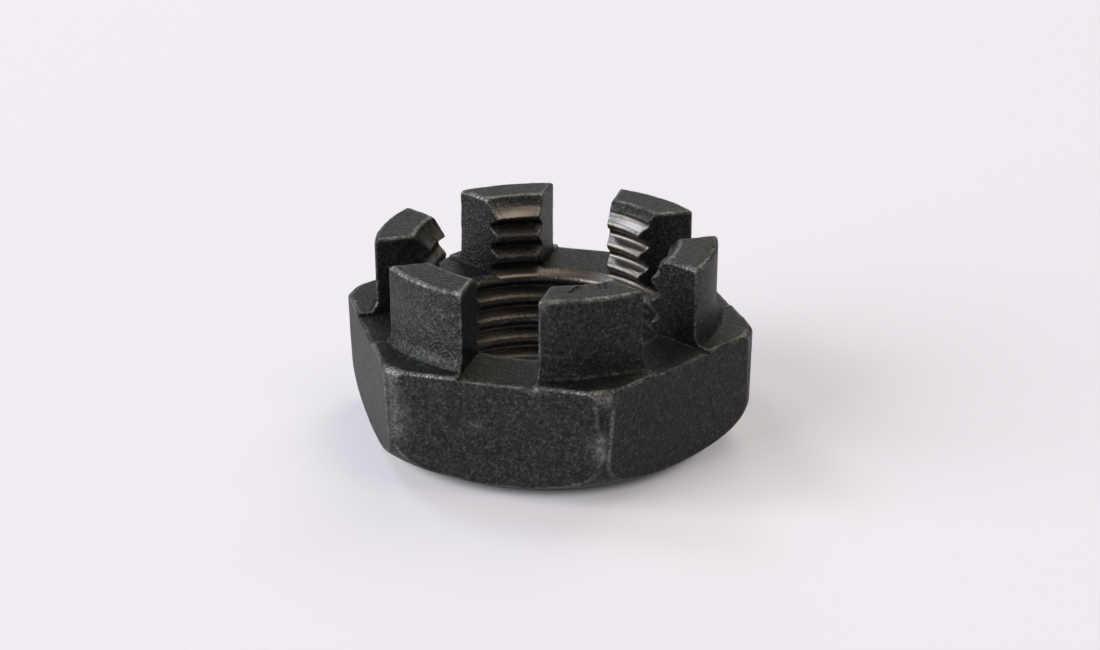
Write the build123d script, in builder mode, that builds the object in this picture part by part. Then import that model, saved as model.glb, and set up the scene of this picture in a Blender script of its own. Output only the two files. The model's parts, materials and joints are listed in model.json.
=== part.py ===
from build123d import *
import math
import os

# Castle nut, M16 x 1.5, thin pattern: a hexagon below, a round slotted crown above.
# Millimetres. The bearing face lies on z = 0, the thread axis is Z, two corners lie on X.

# hexagon
across_flats = 24.0         # wrench size
hex_height = 8.0            # bearing face to the shelf that the crown stands on
corner_diameter = 27.0      # the six corners are turned back to this diameter
shelf_bevel_width = 0.20    # bevel of the corners at the shelf, measured radially
shelf_bevel_height = 0.25
flat_edge_break = 0.20      # edge break along the top of each flat
flat_draft_angle = 2.0      # forging draft: the flats lean in towards the bearing side

# bearing side: a chamfer rises from the bearing face and blends into the corners
bearing_diameter = 20.2
bearing_chamfer_angle = 30.0
corner_blend_radius = 2.4

# crown
crown_diameter = 22.0
crown_height = 5.0          # above the shelf
crown_root_radius = 1.05    # hollow where the crown rises from the shelf
crown_root_sink = 0.20      # lowest point of that hollow's circle, below the shelf

# slots for the split pin
slot_count = 6
slot_width = 4.7
slot_floor_below_shelf = 0.20
crown_rim_edge = 0.28       # rounding of the outer rim of the crown
prong_edge = 0.18           # rounding of the prongs' upright edges and of the slot lips
slot_mouth_break = 0.40     # edge break where each slot floor meets the bore

# thread, bored here to its minor diameter
thread_major = 16.0
thread_pitch = 1.5
thread_sharp_height = thread_pitch * math.sqrt(3) / 2
minor_tolerance = 0.24      # bored above the basic minor diameter
bore_diameter = round(thread_major - 2 * 0.625 * thread_sharp_height + minor_tolerance, 1)
top_sink_diameter = 17.0
bottom_sink_diameter = 17.0
sink_wall_angle = 45.0      # each countersink wall, from the horizontal

# worked out from the sizes above
total_height = hex_height + crown_height
corner_radius = corner_diameter / 2
crown_radius = crown_diameter / 2
bore_radius = bore_diameter / 2
slot_floor = hex_height - slot_floor_below_shelf
slot_reach = corner_diameter + 4.0
sink_slope = math.tan(math.radians(sink_wall_angle))
top_sink_radius = top_sink_diameter / 2
top_sink_depth = (top_sink_radius - bore_radius) * sink_slope
bottom_sink_radius = bottom_sink_diameter / 2
bottom_sink_depth = (bottom_sink_radius - bore_radius) * sink_slope

# corner blend: an arc tangent to the chamfer line and to the turned corner
chamfer_tilt = math.radians(bearing_chamfer_angle)
bearing_radius = bearing_diameter / 2
blend_centre_r = corner_radius - corner_blend_radius
blend_top = (
    corner_blend_radius + (blend_centre_r - bearing_radius) * math.sin(chamfer_tilt)
) / math.cos(chamfer_tilt)
blend_foot_r = blend_centre_r + corner_blend_radius * math.sin(chamfer_tilt)
blend_foot_z = blend_top - corner_blend_radius * math.cos(chamfer_tilt)
blend_mid_tilt = (chamfer_tilt + math.pi / 2) / 2
blend_mid_r = blend_centre_r + corner_blend_radius * math.sin(blend_mid_tilt)
blend_mid_z = blend_top - corner_blend_radius * math.cos(blend_mid_tilt)

# crown root: an arc tangent to the crown wall, cut off where it meets the shelf
root_centre_r = crown_radius + crown_root_radius
root_centre_z = hex_height - crown_root_sink + crown_root_radius
root_turn = math.asin((root_centre_z - hex_height) / crown_root_radius)
root_foot_r = root_centre_r - crown_root_radius * math.cos(root_turn)
root_mid_r = root_centre_r - crown_root_radius * math.cos(root_turn / 2)
root_mid_z = root_centre_z - crown_root_radius * math.sin(root_turn / 2)

os.makedirs("parts", exist_ok=True)

with BuildPart() as castle_nut:
    # hexagonal body, widest at the shelf, with broken top edges
    with BuildSketch(Plane.XY.offset(hex_height)):
        RegularPolygon(across_flats / 2, 6, major_radius=False)
    extrude(amount=-hex_height, taper=flat_draft_angle)
    chamfer(castle_nut.faces().sort_by(Axis.Z)[-1].edges(), flat_edge_break)

    # turned envelope: bearing face, chamfer, blended corners, bevel at the shelf
    with BuildSketch(Plane.XZ):
        with BuildLine():
            Polyline((0, 0), (bearing_radius, 0), (blend_foot_r, blend_foot_z))
            ThreePointArc(
                (blend_foot_r, blend_foot_z),
                (blend_mid_r, blend_mid_z),
                (corner_radius, blend_top),
            )
            Polyline(
                (corner_radius, blend_top),
                (corner_radius, hex_height - shelf_bevel_height),
                (corner_radius - shelf_bevel_width, hex_height),
                (0, hex_height),
                (0, 0),
            )
        make_face()
    revolve(axis=Axis.Z, mode=Mode.INTERSECT)

    # round crown, standing on its hollow root
    with BuildSketch(Plane.XZ):
        with BuildLine():
            Polyline((0, slot_floor), (root_foot_r, slot_floor), (root_foot_r, hex_height))
            ThreePointArc(
                (root_foot_r, hex_height),
                (root_mid_r, root_mid_z),
                (crown_radius, root_centre_z),
            )
            Polyline(
                (crown_radius, root_centre_z),
                (crown_radius, total_height),
                (0, total_height),
                (0, slot_floor),
            )
        make_face()
    revolve(axis=Axis.Z)
    fillet(castle_nut.faces().sort_by(Axis.Z)[-1].edges(), crown_rim_edge)

    # slots milled straight across, through the middles of opposite flats
    with BuildSketch(Plane.XY.offset(slot_floor)):
        with PolarLocations(0, slot_count // 2, start_angle=30):
            Rectangle(slot_reach, slot_width)
    extrude(amount=total_height, mode=Mode.SUBTRACT)

    # broken edges where the slot floors meet the bore
    with BuildPart(mode=Mode.PRIVATE) as slot_mouths:
        with Locations((0, 0, slot_floor - slot_mouth_break)):
            Cone(
                bore_radius,
                bore_radius + slot_mouth_break,
                slot_mouth_break,
                align=(Align.CENTER, Align.CENTER, Align.MIN),
            )
        with BuildSketch(Plane.XY.offset(slot_floor - slot_mouth_break)):
            with PolarLocations(0, slot_count // 2, start_angle=30):
                Rectangle(slot_reach, slot_width)
        extrude(amount=slot_mouth_break, mode=Mode.INTERSECT)
    add(slot_mouths.part, mode=Mode.SUBTRACT)

    # bore at the thread's minor diameter, countersunk at both ends
    with BuildSketch(Plane.XZ):
        with BuildLine():
            Polyline(
                (0, 0),
                (bottom_sink_radius, 0),
                (bore_radius, bottom_sink_depth),
                (bore_radius, total_height - top_sink_depth),
                (top_sink_radius, total_height),
                (0, total_height),
                (0, 0),
            )
        make_face()
    revolve(axis=Axis.Z, mode=Mode.SUBTRACT)

    # eased prongs: the outer uprights, and with them the slot lips they run into
    uprights = castle_nut.edges().filter_by(Axis.Z).filter_by(
        lambda edge: edge.center().Z > hex_height
        and math.hypot(edge.center().X, edge.center().Y) > top_sink_radius
    )
    fillet(uprights, prong_edge)

castle_nut.part.label = "castle_nut"
export_step(castle_nut.part, "parts/castle_nut.step")
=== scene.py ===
import json
import math

import bpy
import numpy as np
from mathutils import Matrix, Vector


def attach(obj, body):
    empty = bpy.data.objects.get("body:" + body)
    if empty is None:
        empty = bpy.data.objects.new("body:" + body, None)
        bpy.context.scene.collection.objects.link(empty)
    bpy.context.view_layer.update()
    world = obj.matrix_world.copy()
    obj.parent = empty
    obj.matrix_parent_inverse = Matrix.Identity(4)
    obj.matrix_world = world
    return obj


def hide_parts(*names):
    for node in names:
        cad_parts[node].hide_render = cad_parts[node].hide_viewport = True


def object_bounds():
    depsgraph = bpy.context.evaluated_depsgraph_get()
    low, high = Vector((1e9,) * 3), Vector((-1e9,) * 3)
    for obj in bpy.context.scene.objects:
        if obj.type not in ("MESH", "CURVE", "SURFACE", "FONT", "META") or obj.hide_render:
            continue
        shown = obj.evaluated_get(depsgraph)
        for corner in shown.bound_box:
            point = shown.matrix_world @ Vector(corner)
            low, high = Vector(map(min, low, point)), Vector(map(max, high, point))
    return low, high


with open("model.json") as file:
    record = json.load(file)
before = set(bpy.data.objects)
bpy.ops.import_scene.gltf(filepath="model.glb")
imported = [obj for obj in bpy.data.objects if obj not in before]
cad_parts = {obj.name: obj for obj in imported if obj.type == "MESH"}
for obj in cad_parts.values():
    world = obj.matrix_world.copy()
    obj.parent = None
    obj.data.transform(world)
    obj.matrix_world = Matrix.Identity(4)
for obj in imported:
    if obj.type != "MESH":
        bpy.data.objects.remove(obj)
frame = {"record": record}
cad_low, cad_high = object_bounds()

# ---------------------------------------------------------------- sizes, in millimetres
MM = 0.001
across_flats = 24.0
corner_radius = round((cad_high.x - cad_low.x) / MM / 2, 2)
total_height = (cad_high.z - cad_low.z) / MM

hex_height = 8.0
flat_draft = math.radians(2)
shelf_bevel_width = 0.20
shelf_bevel_height = 0.25
bearing_radius = 10.1
chamfer_tilt = math.radians(30)
corner_blend_radius = 2.4
crown_radius = 11.0
root_radius = 1.05
root_sink = 0.20
slot_width = 4.7
slot_sink = 0.20
slot_floor = hex_height - slot_sink
slot_mouth_break = 0.40
slot_mouth_tilt = math.radians(45)
slot_angles = [math.radians(a) for a in (30, 90, 150)]

thread_mount = next(m for m in frame["record"]["mounts"] if m["name"] == "thread")
thread_pitch = 1.5
thread_minor_radius = thread_mount["dims"]["r_mm"]
thread_major_radius = 8.0
thread_turn = -0.05
thread_softness = 0.28
crest_half_width = thread_pitch / 8
flank_rise = math.sqrt(3)
sink_radius = 8.5
sink_tilt = math.radians(45)

# how round the edges are, how much that varies along them, and the forged skin
hex_edge = 0.20
corner_softness = 0.12
rim_edge = 0.26
prong_edge = 0.17
mouth_edge = 0.10
edge_variation = 0.5
edge_variation_size = 0.9
forging_waves = 0.012
forging_wave_size = 2.6
scale_pits = 0.003
scale_pit_size = 0.4

# the grid that the surface is drawn on
grid_step = 0.125
grid_margin = 3.4 * grid_step
surface_band = 0.45
settling_rounds = 3
least_slope = 0.5
slope_reach = 0.02
most_triangles = 190000

# ---------------------------------------------------------------- wear
# edges: how far round a point its turn is felt, the turn that counts as an edge, and the wear
sharp_reach = 0.14
sharp_turn = 4.0
broad_reach = 0.30
broad_turn = 3.6
narrow_edge_wear = 0.3
ridge_reach = 0.10
ridge_wear = 0.32
ridge_top = hex_height - 0.3
# a thin painted highlight line along the foot of the crown, where its hollow root meets the
# shelf: its height, width and strength
foot_height = hex_height + 0.10
foot_reach = 0.08
painted_foot_highlight = 0.18
level_ground = 0.95

# corners that hands and tools don't reach, beside the slots at the height of the shelf
tucked_height = 0.45
tucked_radius = 11.75
tucked_beside_slot = 0.3
tucked_wear = 0.3

# how much upright sides are worn next to tops (less wear on sides and none underneath is partly
# painted shade), how much less the hole is, and the tops' wear (partly painted light)
upright_side_share = 0.24
hole_shelter = 0.7
hole_skin = 0.12
# lightening of the prong tops: partly wear, partly painted light on the tops
top_wear_and_painted_light = 0.04
top_band = 0.2
top_fade = 0.1

# thread metal rubbed bare: where it is, by angle round the axis and by height
bare_side = math.radians(68)
bare_side_start = 0.75
bare_side_fade = 0.15
bare_elsewhere = 0.30
bore_side = math.radians(135)
bore_bareness = 0.60
lip_side = math.radians(95)
lip_start = 0.5
lip_fade = 0.3
lip_height = slot_floor - 0.3
lip_reach = 0.45
first_turn_height = 11.0
first_turn_fade = 0.5
first_turn_share = 1.2
first_turn_lean = 2
plain_end = 0.45
plain_end_fade = 0.5
crown_fade = 0.2
flank_bareness = 0.45
crown_flank_loss = 0.37
upward_bareness = 1.5

# handling marks, in millimetres: nicks are rods (one end, other end, radius) that pressed into
# the surface, and rubs are spots (x, y, z, reach, strength); the last two spots are painted
# glints
nicks = [
    ((3.95, -8.78, 13.18), (4.35, -7.50, 13.16), 0.28),
    ((5.30, -6.80, 13.15), (5.62, -7.70, 13.18), 0.28),
    ((2.45, -12.18, 8.12), (2.60, -12.20, 8.12), 0.30),
    ((-5.35, -10.80, 8.14), (-5.10, -10.70, 8.14), 0.22),
    ((10.80, 1.00, 13.14), (11.05, 1.50, 13.12), 0.24),
    ((-8.50, 7.20, 13.14), (-8.10, 7.50, 13.14), 0.26),
    ((3.10, 12.18, 8.12), (3.40, 12.18, 8.12), 0.30),
    ((-11.95, 3.60, 8.12), (-11.80, 3.90, 8.12), 0.28),
    ((-2.20, 12.14, 4.90), (-2.00, 12.14, 4.40), 0.22),
]
rubs_and_glints = [
    (2.50, -12.05, 7.90, 0.30, 1.0),
    (6.55, -11.80, 4.90, 0.32, 0.9),
    (6.55, -11.80, 4.40, 0.36, 1.0),
    (6.60, -11.75, 3.80, 0.34, 0.8),
    (6.80, -11.65, 7.70, 0.60, 0.8),
    (2.45, -10.50, 12.85, 0.45, 0.8),
    (-1.35, -12.00, 4.90, 0.40, 0.35),
    (-6.70, -11.70, 7.80, 0.45, 1.0),
    (-6.50, -11.80, 6.60, 0.65, 0.45),
    (-6.30, -11.85, 5.20, 0.75, 0.45),
    (-6.30, -11.85, 4.00, 0.70, 0.45),
    # a broad faint spot that lightens the outer face of the front-left prong
    (-5.40, -9.60, 10.00, 3.20, 0.13),
    (13.40, 0.00, 7.80, 0.45, 0.6),
    (13.45, 0.30, 4.30, 0.60, 0.7),
    (-6.70, 11.70, 5.20, 0.70, 0.6),
    (6.80, 11.60, 6.20, 0.60, 0.5),
    (-13.40, -0.20, 3.60, 0.60, 0.6),
    # painted glints: these two spots lighten the left prong's first thread turns where glints
    # show
    (-7.35, -0.90, 11.95, 0.55, 0.9),
    (-7.35, -0.60, 10.50, 0.50, 0.7),
]


# ---------------------------------------------------------------- noise for the worn surface
def lattice_noise(p, size, seed):
    """Smooth noise from 0 to 1, with bumps about size across."""
    table = np.random.default_rng(seed).random(8192)
    cell = np.floor(p / size).astype(np.int64)
    part = p / size - cell
    part = part * part * (3 - 2 * part)
    total = 0
    for corner in np.ndindex(2, 2, 2):
        key = (cell + corner) * (73856093, 19349663, 83492791)
        value = table[(key[..., 0] ^ key[..., 1] ^ key[..., 2]) % len(table)]
        for axis in range(3):
            share = part[..., axis]
            value = value * (share if corner[axis] else 1 - share)
        total = total + value
    return total


def layered_noise(p, size, seed):
    """Smooth noise with a finer layer in it."""
    return 0.65 * lattice_noise(p, size, seed) + 0.35 * lattice_noise(p, size * 0.45, seed + 1)


# ---------------------------------------------------------------- the nut as a distance field
def round_max(a, b, radius):
    """Intersection of two solids whose shared edge is rounded."""
    inner = np.minimum(np.maximum(a, b), -radius)
    return inner + np.hypot(np.maximum(a + radius, 0), np.maximum(b + radius, 0))


def soft_max(a, b, reach):
    """Intersection of two surfaces that meet at a shallow angle, worn together over a reach."""
    share = np.maximum(reach - np.abs(a - b), 0) / reach
    return np.maximum(a, b) + share * share * reach / 4


def rod_distance(p, start, end):
    """Distance to the straight line from start to end."""
    along = np.clip((p - start) @ (end - start) / ((end - start) @ (end - start)), 0, 1)
    return np.linalg.norm(p - start - along[..., None] * (end - start), axis=-1)


def hexagon(x, y, z):
    """Six flats that lean in towards the bearing side."""
    flats = [np.abs(x * math.cos(angle) + y * math.sin(angle)) for angle in slot_angles]
    lean = (hex_height - z) * math.tan(flat_draft)
    return (np.maximum.reduce(flats) - across_flats / 2 + lean) * math.cos(flat_draft)


def turned_envelope(r, z):
    """Corner diameter, with the bearing chamfer blended into it and the bevel at the shelf."""
    centre_r = corner_radius - corner_blend_radius
    rise = (centre_r - bearing_radius) * math.sin(chamfer_tilt)
    centre_z = (corner_blend_radius + rise) / math.cos(chamfer_tilt)
    chamfer = (r - bearing_radius) * math.sin(chamfer_tilt) - z * math.cos(chamfer_tilt)
    below = centre_z - z
    in_blend = (below > 0) & (r - centre_r > below * math.tan(chamfer_tilt))
    blend = np.hypot(r - centre_r, below) - corner_blend_radius
    side = np.where(in_blend, blend, np.maximum(r - corner_radius, chamfer))
    slope = math.hypot(shelf_bevel_width, shelf_bevel_height)
    outward = (r - corner_radius + shelf_bevel_width) * shelf_bevel_height
    upward = (z - hex_height) * shelf_bevel_width
    return np.maximum(side, (outward + upward) / slope)


def crown(r, z):
    """Crown wall standing on its hollow root."""
    centre_r = crown_radius + root_radius
    centre_z = hex_height - root_sink + root_radius
    hollow = root_radius - np.hypot(r - centre_r, z - centre_z)
    in_hollow = (z < centre_z) & (r < centre_r)
    return np.where(in_hollow, hollow, r - crown_radius)


def slot_lines(x, y):
    """Depth inside the nearest of the three slots, negative in the prongs."""
    across = [np.abs(y * math.cos(angle) - x * math.sin(angle)) for angle in slot_angles]
    return slot_width / 2 - np.minimum.reduce(across)


def threaded_hole(x, y, z):
    """Radius of the right-hand thread, opened out by the countersinks at both ends."""
    turn = np.arctan2(y, x) / (2 * math.pi)
    place = (z / thread_pitch - turn + thread_turn) % 1.0
    from_crest = np.abs(place - 0.5) * thread_pitch
    depth = soft_max((from_crest - crest_half_width) * flank_rise, 0, thread_softness)
    depth = -soft_max(-depth, thread_minor_radius - thread_major_radius, thread_softness)
    groove = thread_minor_radius + depth
    sinks = sink_radius - np.minimum(z, total_height - z)
    return np.maximum(groove, sinks)


def nut_field(p, worn=True):
    """Negative inside the steel and positive outside."""
    x, y, z = p[..., 0], p[..., 1], p[..., 2]
    r = np.hypot(x, y)
    wander = 1.0
    if worn:
        wander = 1 + edge_variation * (2 * layered_noise(p, edge_variation_size, 11) - 1)
    body = soft_max(hexagon(x, y, z), turned_envelope(r, z), corner_softness * wander)
    body = round_max(body, z - hex_height, hex_edge * wander)
    body = round_max(body, -z, hex_edge)
    slots = slot_lines(x, y)
    prongs = round_max(crown(r, z), slots, prong_edge * wander)
    prongs = round_max(prongs, z - total_height, rim_edge * wander)
    prongs = np.maximum(prongs, hex_height / 2 - z)
    mouth = thread_minor_radius + slot_mouth_break - (slot_floor - z) - r
    trench = np.maximum(z - slot_floor, mouth * math.cos(slot_mouth_tilt))
    body = np.maximum(body, np.minimum(slots, trench))
    outer = np.minimum(body, prongs)
    if worn:
        for start, end, radius in nicks:
            outer = np.maximum(outer, radius - rod_distance(p, np.array(start), np.array(end)))
        outer = outer + forging_waves * layered_noise(p, forging_wave_size, 23)
        outer = outer + scale_pits * lattice_noise(p, scale_pit_size, 37)
    hole = (threaded_hole(x, y, z) - r) * math.cos(sink_tilt)
    return round_max(outer, hole, mouth_edge * wander)


def field_slope(p):
    """Direction in which the field grows fastest, out of the steel."""
    slopes = []
    for axis in range(3):
        offset = np.zeros(3)
        offset[axis] = slope_reach
        slopes.append((nut_field(p + offset) - nut_field(p - offset)) / (2 * slope_reach))
    return np.stack(slopes, axis=-1)


# ---------------------------------------------------------------- field to mesh
def surface_nets(field, low, step):
    """One vertex for each grid cell that the surface crosses, joined by quads."""
    inside = field < 0
    shape = field.shape
    cells = tuple(n - 1 for n in shape)
    flat_count = math.prod(cells)
    total = np.zeros((flat_count, 3))
    count = np.zeros(flat_count)
    fans = []
    for axis in range(3):
        near, far = [slice(None)] * 3, [slice(None)] * 3
        near[axis], far[axis] = slice(None, -1), slice(1, None)
        start = np.argwhere(inside[tuple(near)] != inside[tuple(far)])
        end = start.copy()
        end[:, axis] += 1
        first, second = field[tuple(start.T)], field[tuple(end.T)]
        point = start.astype(float)
        point[:, axis] += first / (first - second)
        one, two = (axis + 1) % 3, (axis + 2) % 3
        fan = []
        for back_one, back_two in ((1, 1), (0, 1), (0, 0), (1, 0)):
            cell = start.copy()
            cell[:, one] -= back_one
            cell[:, two] -= back_two
            number = np.ravel_multi_index(tuple(cell.T), cells)
            fan.append(number)
            count += np.bincount(number, minlength=flat_count)
            for k in range(3):
                total[:, k] += np.bincount(number, weights=point[:, k], minlength=flat_count)
        fan = np.stack(fan, axis=1)
        fan[first > 0] = fan[first > 0][:, ::-1]
        fans.append(fan)
    used = count > 0
    order = np.cumsum(used) - 1
    vertices = low + step * total[used] / count[used][:, None]
    return vertices, order[np.concatenate(fans)]


def settle(p):
    """Moves each vertex along the slope of the field onto its surface."""
    for _ in range(settling_rounds):
        slope = field_slope(p)
        size = np.maximum((slope**2).sum(axis=1), least_slope**2)
        move = np.clip(nut_field(p) / size, -grid_step / 2, grid_step / 2)
        p = p - slope * move[:, None]
    return p


def nut_surface():
    """Vertices and quads of the whole nut, worked out finely only near its surface."""
    low = np.array([-corner_radius, -across_flats / 2, 0]) - grid_margin
    high = np.array([corner_radius, across_flats / 2, total_height]) + grid_margin
    axes = [np.arange(a, b, grid_step) for a, b in zip(low, high)]
    grid = np.stack(np.meshgrid(*axes, indexing="ij"), axis=-1)
    field = nut_field(grid, worn=False)
    near = np.abs(field) < surface_band
    field[near] = nut_field(grid[near])
    vertices, quads = surface_nets(field, low, grid_step)
    return settle(vertices), quads


# ---------------------------------------------------------------- wear painted on the mesh
def fade(values, start, length):
    """0 up to the start, and 1 from a length beyond it."""
    return np.clip((values - start) / length, 0, 1)


def bell(values, centre, reach):
    """1 at the centre, falling off smoothly over the reach."""
    return np.exp(-(((values - centre) / reach) ** 2))


def edge_curve(p, reach):
    """How sharply the surface turns away, above zero on edges and below zero in corners."""
    total = -6 * nut_field(p, worn=False)
    for axis in range(3):
        for side in (-1, 1):
            offset = np.zeros(3)
            offset[axis] = side * reach
            total += nut_field(p + offset, worn=False)
    return total / reach**2


def handling_and_shade(up, in_hole):
    """How much hands and tools rub a surface, and partly painted shade: most on the tops, less on
    upright sides, none underneath, least in the hole.
    """
    outside = np.clip(upright_side_share + (1 - upright_side_share) * up, 0, 1)
    return outside * (1 - hole_shelter * in_hole)


def edge_wear_and_highlight(p, up, in_hole, shoulder):
    """Rubbed edges, the ridges between flats and corners, and a painted highlight line along the
    foot of the crown.
    """
    x, y, z = p.T
    r = np.hypot(x, y)
    sharp = np.clip(edge_curve(p, sharp_reach) / sharp_turn, 0, 1)
    # wear kept by facing: partly real wear, partly painted shade on upright sides and undersides
    handled_and_shaded = handling_and_shade(up, in_hole)
    edges = sharp * (narrow_edge_wear + (1 - narrow_edge_wear) * shoulder) * handled_and_shaded
    ridges = ridge_wear * bell(hexagon(x, y, z) - turned_envelope(r, z), 0, ridge_reach)
    ridges = ridges * (z < ridge_top)
    # painted highlight: a thin light line round the foot of the crown, standing in for light
    # caught low in its hollow
    foot_highlight = painted_foot_highlight * bell(z, foot_height, foot_reach) * (1 - in_hole) * (up < level_ground)
    worn = np.maximum.reduce([edges, ridges, foot_highlight])
    tucked = (np.abs(z - hex_height) < tucked_height) & (r < tucked_radius)
    tucked = tucked & (slot_lines(x, y) > -tucked_beside_slot)
    return np.where(tucked, tucked_wear * worn, worn)


def rubs_glints_and_lit_tops(p, in_hole):
    """Single rubbed spots, two painted glints on the left prong's thread, and the tops of the
    prongs, whose lightening is partly painted light.
    """
    # the tops of the prongs are lightened, partly as wear and partly as painted light
    top = fade(p[:, 2], total_height - top_band, top_fade)
    total = top_wear_and_painted_light * top * (1 - in_hole)
    for *centre, reach, strength in rubs_and_glints:
        distance = np.linalg.norm(p - centre, axis=1)
        total = np.maximum(total, strength * bell(distance, 0, reach))
    return total


def bare_metal(p, up, in_hole):
    """Thread rubbed bare on one side's prongs, the first turn, the bore and the slots' lip."""
    x, y, z = p.T
    angle = np.arctan2(y, x)
    toward_side = np.cos(angle - bare_side)
    in_crown = fade(z, slot_floor, crown_fade)
    prongs = np.maximum(fade(toward_side, bare_side_start, bare_side_fade), bare_elsewhere)
    first_turn = fade(z, first_turn_height, first_turn_fade)
    first_turn = first_turn * np.clip(first_turn_share + first_turn_lean * toward_side, 0, 1)
    bore = bore_bareness * np.clip(np.cos(angle - bore_side), 0, 1)
    lip = bell(z, lip_height, lip_reach) * fade(np.cos(angle - lip_side), lip_start, lip_fade)
    places = np.maximum.reduce([prongs * in_crown, first_turn, bore * (1 - in_crown), lip])
    in_thread = fade(np.minimum(z, total_height - z), plain_end, plain_end_fade)
    facing = flank_bareness - crown_flank_loss * in_crown + upward_bareness * up
    return in_hole * in_thread * np.clip(facing, 0, 1) * places


def read_points(mesh):
    """Vertices of the mesh, in millimetres."""
    flat = np.empty(len(mesh.vertices) * 3)
    mesh.vertices.foreach_get("co", flat)
    return flat.reshape(-1, 3) / MM


def add_mask(mesh, name, values):
    """Writes one value for each vertex."""
    mesh.attributes.new(name, "FLOAT", "POINT").data.foreach_set("value", values)


def paint_masks(mesh):
    """Writes the wear masks, and the field's own slope as smooth normals."""
    p = read_points(mesh)
    x, y, z = p.T
    slope = field_slope(p)
    slope /= np.linalg.norm(slope, axis=1)[:, None]
    up = slope[:, 2]
    in_hole = fade(threaded_hole(x, y, z) - np.hypot(x, y), -hole_skin, hole_skin)
    shoulder = np.clip(edge_curve(p, broad_reach) / broad_turn, 0, 1)
    add_mask(mesh, "worn_edge_and_highlight", edge_wear_and_highlight(p, up, in_hole, shoulder))
    add_mask(mesh, "shoulder_wear_and_shade", shoulder * handling_and_shade(up, in_hole))
    add_mask(mesh, "rubbed", rubs_glints_and_lit_tops(p, in_hole))
    add_mask(mesh, "bare", bare_metal(p, up, in_hole))
    mesh.normals_split_custom_set_from_vertices(slope.tolist())


# ---------------------------------------------------------------- node helpers
class Graph:
    """Adds shader nodes and joins them in one call each."""

    def __init__(self, name):
        self.material = bpy.data.materials.new(name)
        self.material.use_nodes = True
        self.tree = self.material.node_tree
        self.shader = self.tree.nodes["Principled BSDF"]

    def put(self, socket, value):
        """Joins a node's output to the socket, or sets a plain value on it."""
        if isinstance(value, bpy.types.NodeSocket):
            self.tree.links.new(value, socket)
        else:
            socket.default_value = value

    def math(self, operation, *values):
        node = self.tree.nodes.new("ShaderNodeMath")
        node.operation = operation
        for socket, value in zip(node.inputs, values):
            self.put(socket, value)
        return node.outputs[0]

    def noise(self, coords, scale, detail, roughness):
        node = self.tree.nodes.new("ShaderNodeTexNoise")
        self.put(node.inputs["Vector"], coords)
        self.put(node.inputs["Scale"], scale)
        self.put(node.inputs["Detail"], detail)
        self.put(node.inputs["Roughness"], roughness)
        return node.outputs["Fac"]

    def cells(self, coords, scale):
        """Crystal grains: two random values for each grain, and a dish inside it."""
        node = self.tree.nodes.new("ShaderNodeTexVoronoi")
        self.put(node.inputs["Vector"], coords)
        self.put(node.inputs["Scale"], scale)
        split = self.tree.nodes.new("ShaderNodeSeparateColor")
        self.put(split.inputs["Color"], node.outputs["Color"])
        return split.outputs["Red"], split.outputs["Green"], node.outputs["Distance"]

    def span(self, value, low, high, to_low=0.0, to_high=1.0):
        """Eases from to_low to to_high while the value goes from low to high."""
        node = self.tree.nodes.new("ShaderNodeMapRange")
        node.interpolation_type = "SMOOTHSTEP"
        for socket, number in zip(node.inputs, (value, low, high, to_low, to_high)):
            self.put(socket, number)
        return node.outputs["Result"]

    def blend(self, kind, factor, first, second):
        node = self.tree.nodes.new("ShaderNodeMix")
        node.data_type = "RGBA"
        node.blend_type = kind
        for name, value in (("Factor_Float", factor), ("A_Color", first), ("B_Color", second)):
            self.put(next(i for i in node.inputs if i.identifier == name), value)
        return next(o for o in node.outputs if o.identifier == "Result_Color")

    def mix(self, factor, first, second):
        return self.blend("MIX", factor, first, second)

    def mask(self, name):
        """One of the wear masks painted on the mesh."""
        node = self.tree.nodes.new("ShaderNodeAttribute")
        node.attribute_name = name
        return node.outputs["Fac"]

    def millimetres(self):
        """Place on the object in millimetres."""
        source = self.tree.nodes.new("ShaderNodeTexCoord")
        scale = self.tree.nodes.new("ShaderNodeVectorMath")
        scale.operation = "SCALE"
        self.put(scale.inputs[0], source.outputs["Object"])
        self.put(scale.inputs["Scale"], 1 / MM)
        return scale.outputs[0]

    def turned(self, coords, angles):
        node = self.tree.nodes.new("ShaderNodeVectorRotate")
        node.rotation_type = "EULER_XYZ"
        self.put(node.inputs["Vector"], coords)
        self.put(node.inputs["Rotation"], angles)
        return node.outputs["Vector"]

    def open_air(self, reach):
        """1 where nothing stands over the surface, 0 where something touches it."""
        node = self.tree.nodes.new("ShaderNodeAmbientOcclusion")
        node.samples = 8
        self.put(node.inputs["Distance"], reach)
        return node.outputs["AO"]

    def bump(self, height, distance):
        node = self.tree.nodes.new("ShaderNodeBump")
        self.put(node.inputs["Height"], height)
        self.put(node.inputs["Distance"], distance)
        return node.outputs["Normal"]


def grey(value, warm=0.0):
    """Colour of one brightness, with a little more red and less blue where warm."""
    return (value * (1 + warm), value, value * (1 - warm), 1)


# ---------------------------------------------------------------- blackened steel
# how many grains, or how much of a patch, there are to a millimetre
grain_scale = 6.0
small_grain_scale = 9.8
grit_scale = 10.4
patch_scale = 0.55
tint_scale = 0.16
blotch_scale = 1.6
grain_turn = (0.4, 0.7, 0.3)

dark_oxide = grey(0.012, 0.02)
light_oxide = grey(0.053, 0.02)
oxide_speck = grey(0.10)
oxide_patch = grey(0.045)
cool_oxide = (0.95, 0.98, 1.0, 1)
warm_oxide = (1.0, 0.96, 0.91, 1)
cool_speck = (0.92, 0.98, 1.0, 1)
warm_speck = (1.0, 0.95, 0.90, 1)
worn_steel = grey(0.26, 0.02)
bare_steel = (0.35, 0.305, 0.275, 1)
grazing_tint = grey(0.88)

shoulder_share = 0.42
worn_shine = 0.6
oxide_metal = 0.8
oxide_roughness = 0.50
bare_roughness = 0.37
pit_depth = 0.065 * MM
bare_relief = 0.12


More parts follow.
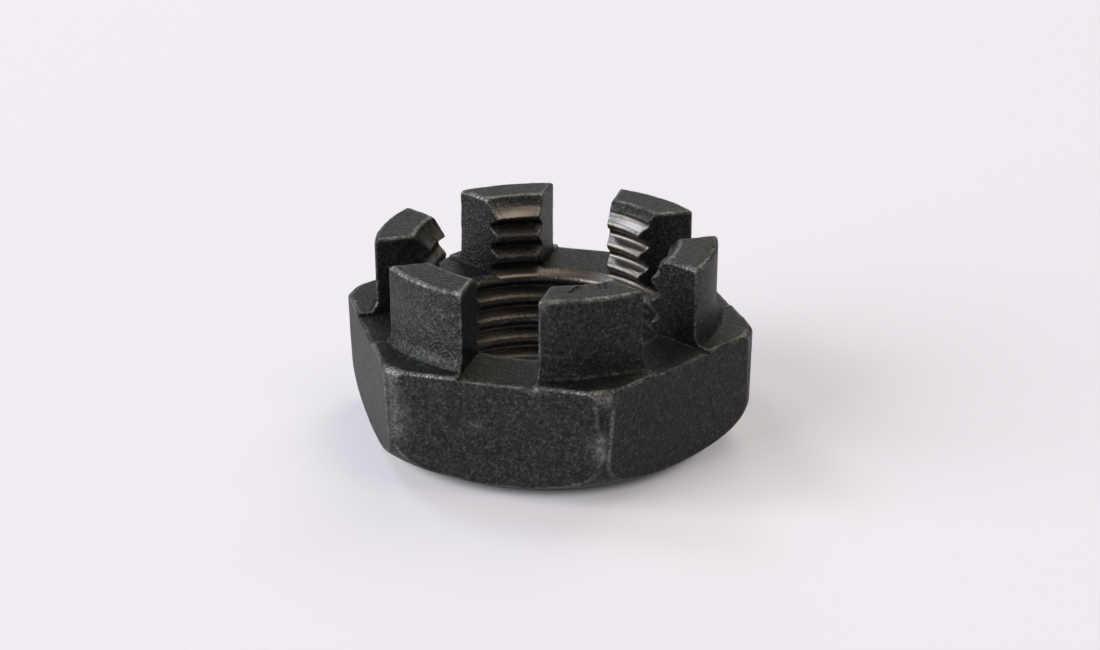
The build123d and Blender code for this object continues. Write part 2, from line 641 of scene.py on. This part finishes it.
def blackened_steel():
    """Oxide over fine forged grain, worn to grey on the edges and to bare metal on the thread."""
    g = Graph("blackened_steel")
    coords = g.turned(g.millimetres(), grain_turn)
    coarse, hue, pits = g.cells(coords, grain_scale)
    small = g.cells(coords, small_grain_scale)[0]
    fine = g.noise(coords, grit_scale, 2.0, 0.6)
    patches = g.noise(coords, patch_scale, 4.0, 0.6)
    tint = g.noise(coords, tint_scale, 2.0, 0.5)
    blotch = g.noise(coords, blotch_scale, 2.0, 0.6)
    worn_edge_and_highlight = g.mask("worn_edge_and_highlight")
    shoulder = g.mask("shoulder_wear_and_shade")
    rubbed = g.mask("rubbed")
    bare = g.mask("bare")

    grain = g.math("MULTIPLY", coarse, 0.5)
    grain = g.math("MULTIPLY_ADD", small, 0.3, grain)
    grain = g.math("MULTIPLY_ADD", fine, 0.2, grain)
    oxide = g.mix(g.span(grain, 0.10, 0.90), dark_oxide, light_oxide)
    oxide = g.mix(g.span(grain, 0.70, 0.88), oxide, oxide_speck)
    oxide = g.mix(g.span(patches, 0.35, 0.75, 0.0, 0.25), oxide, oxide_patch)
    shade = g.mix(g.span(tint, 0.35, 0.65), cool_oxide, warm_oxide)
    oxide = g.blend("MULTIPLY", 1.0, oxide, shade)
    speck = g.math("MULTIPLY_ADD", hue, 0.5, g.math("MULTIPLY", blotch, 0.5))
    shade = g.mix(g.span(speck, 0.30, 0.70), cool_speck, warm_speck)
    oxide = g.blend("MULTIPLY", 1.0, oxide, shade)

    grit = g.span(grain, 0.25, 0.70, 0.40, 1.0)
    patchy = g.span(patches, 0.40, 0.62, 0.30, 1.0)
    # the edge mask also holds the painted highlight line along the crown's foot
    edge = g.math("MULTIPLY", g.span(worn_edge_and_highlight, 0.05, 0.48), patchy)
    rounded = g.math("MULTIPLY", g.span(shoulder, 0.15, 0.90), shoulder_share)
    edge = g.math("MAXIMUM", edge, rounded)
    # the rubbed mask also holds the painted glints and the prong tops' painted light
    edge = g.math("MAXIMUM", edge, rubbed)
    worn = g.math("MULTIPLY", edge, grit)
    colour = g.mix(worn, oxide, worn_steel)
    bared = g.math("MULTIPLY", bare, g.span(patches, 0.3, 0.6, 0.75, 1.0))
    colour = g.mix(bared, colour, bare_steel)

    g.put(g.shader.inputs["Base Color"], colour)
    g.put(g.shader.inputs["Specular Tint"], grazing_tint)
    shiny = g.math("MAXIMUM", g.math("MULTIPLY", worn, worn_shine), bared)
    g.put(g.shader.inputs["Metallic"], g.span(shiny, 0.0, 1.0, oxide_metal, 1.0))
    rough = g.span(shiny, 0.0, 1.0, oxide_roughness, bare_roughness)
    g.put(g.shader.inputs["Roughness"], rough)
    relief = g.math("MULTIPLY_ADD", pits, 0.6, g.math("MULTIPLY", fine, 0.4))
    relief = g.math("MULTIPLY", relief, g.span(bare, 0.0, 1.0, 1.0, bare_relief))
    g.put(g.shader.inputs["Normal"], g.bump(relief, pit_depth))
    return g.material


# ---------------------------------------------------------------- the nut
def build_nut():
    """Mesh of the nut, thinned to at most the set number of triangles, and painted."""
    vertices, quads = nut_surface()
    mesh = bpy.data.meshes.new("castle_nut_steel")
    mesh.from_pydata((vertices * MM).tolist(), [], quads.tolist())
    nut = bpy.data.objects.new("castle_nut_body", mesh)
    bpy.context.scene.collection.objects.link(nut)
    thin = nut.modifiers.new("thin", "DECIMATE")
    thin.ratio = min(1, most_triangles / (2 * len(quads)))
    thinned = nut.evaluated_get(bpy.context.evaluated_depsgraph_get())
    shape = bpy.data.meshes.new_from_object(thinned)
    nut.modifiers.clear()
    nut.data = shape
    shape.polygons.foreach_set("use_smooth", [True] * len(shape.polygons))
    paint_masks(shape)
    shape.materials.append(blackened_steel())
    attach(nut, "root")
    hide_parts("castle_nut")


# ---------------------------------------------------------------- floor
floor_reach = 3.0
floor_colour = (0.69, 0.66, 0.71, 1)
floor_roughness = 0.9
floor_glow_colour = (1.0, 0.95, 1.0, 1)
floor_glow = 0.310
painted_contact_shadow_reach = 0.9 * MM


def build_floor():
    """Pale floor whose glow, seen by the camera and in reflections, fades to a painted contact
    shadow where the nut stands on it.
    """
    sides = ((-1, -1), (1, -1), (1, 1), (-1, 1))
    corners = [(x * floor_reach, y * floor_reach, 0) for x, y in sides]
    mesh = bpy.data.meshes.new("floor")
    mesh.from_pydata(corners, [], [(0, 1, 2, 3)])
    floor = bpy.data.objects.new("floor", mesh)
    bpy.context.scene.collection.objects.link(floor)
    g = Graph("floor_paint")
    g.put(g.shader.inputs["Base Color"], floor_colour)
    g.put(g.shader.inputs["Roughness"], floor_roughness)
    g.put(g.shader.inputs["Specular IOR Level"], 0.0)
    rays = g.tree.nodes.new("ShaderNodeLightPath")
    seen = g.math("MAXIMUM", rays.outputs["Is Camera Ray"], rays.outputs["Is Glossy Ray"])
    # painted contact shadow: the floor's glow fades out where the nut stands close over it
    glow_with_painted_contact_shadow = g.span(g.open_air(painted_contact_shadow_reach), 0.02, 0.42, 0.0, floor_glow)
    g.put(g.shader.inputs["Emission Color"], floor_glow_colour)
    g.put(g.shader.inputs["Emission Strength"], g.math("MULTIPLY", seen, glow_with_painted_contact_shadow))
    mesh.materials.append(g.material)


# ---------------------------------------------------------------- camera and light
# angles in degrees, distance and aim height in widths across flats, clip in metres
camera_azimuth = 15.04
camera_elevation = 22.70
camera_distance = 5.539
camera_aim_height = 0.2903
camera_lens = 66.72
camera_sensor = 36
camera_shift = (0.0034, -0.0011)
camera_clip_start = 0.005

# softboxes: name, azimuth, elevation, width in metres, brightness, colour
lamp_distance = 2.40
softboxes = [
    ("front_left", -54, 23, 2.20, 4.35, (0.96, 1.0, 1.0)),
    ("back_left", -119, 49, 0.72, 7.4, (0.72, 0.84, 1.0)),
    ("back", 165, 50, 1.32, 2.3, (1.0, 0.97, 0.80)),
    ("back_low", -165, 14, 1.20, 1.0, (1.0, 1.0, 1.0)),
    ("top", 146, 76, 1.20, 0.95, (1.0, 0.91, 0.80)),
    ("right", 75, 60, 1.20, 1.6, (1.0, 0.90, 0.76)),
]
world_colour = (1.0, 0.975, 1.0, 1)
world_strength = 0.02


def direction(azimuth, elevation):
    """Unit vector from the nut towards a viewer or a lamp; azimuth 0 stands in front, at -Y."""
    turn, rise = math.radians(azimuth), math.radians(elevation)
    return Vector(
        (math.sin(turn) * math.cos(rise), -math.cos(turn) * math.cos(rise), math.sin(rise))
    )


def aim(item, place, target):
    """Adds a camera or lamp at its place, looking at the target."""
    item.location = place
    item.rotation_mode = "QUATERNION"
    item.rotation_quaternion = (target - place).to_track_quat("-Z", "Y")
    bpy.context.scene.collection.objects.link(item)


def build_camera():
    """Camera in front and a little to the right, looking down on the nut."""
    camera = bpy.data.objects.new("camera", bpy.data.cameras.new("camera"))
    target = Vector((0, 0, camera_aim_height * across_flats * MM))
    toward_camera = direction(camera_azimuth, camera_elevation)
    aim(camera, target + toward_camera * camera_distance * across_flats * MM, target)
    camera.data.sensor_width = camera_sensor
    camera.data.lens = camera_lens
    camera.data.shift_x, camera.data.shift_y = camera_shift
    camera.data.clip_start = camera_clip_start
    bpy.context.scene.camera = camera


def softbox(name, azimuth, elevation, width, brightness, colour):
    """Square soft lamp; its brightness is that of its face, whatever its width."""
    light = bpy.data.lights.new(name, "AREA")
    light.size = width
    light.color = colour
    light.energy = brightness * math.pi * width**2
    lamp = bpy.data.objects.new(name, light)
    target = Vector((0, 0, total_height / 2 * MM))
    aim(lamp, target + direction(azimuth, elevation) * lamp_distance, target)


def build_light():
    """Large softboxes round the nut, and a faint even light from everywhere."""
    world = bpy.data.worlds.new("studio")
    bpy.context.scene.world = world
    world.use_nodes = True
    background = world.node_tree.nodes["Background"]
    background.inputs["Color"].default_value = world_colour
    background.inputs["Strength"].default_value = world_strength
    for box in softboxes:
        softbox(*box)


build_nut()
build_floor()
build_camera()
build_light()
bpy.context.scene.view_settings.view_transform = "Standard"
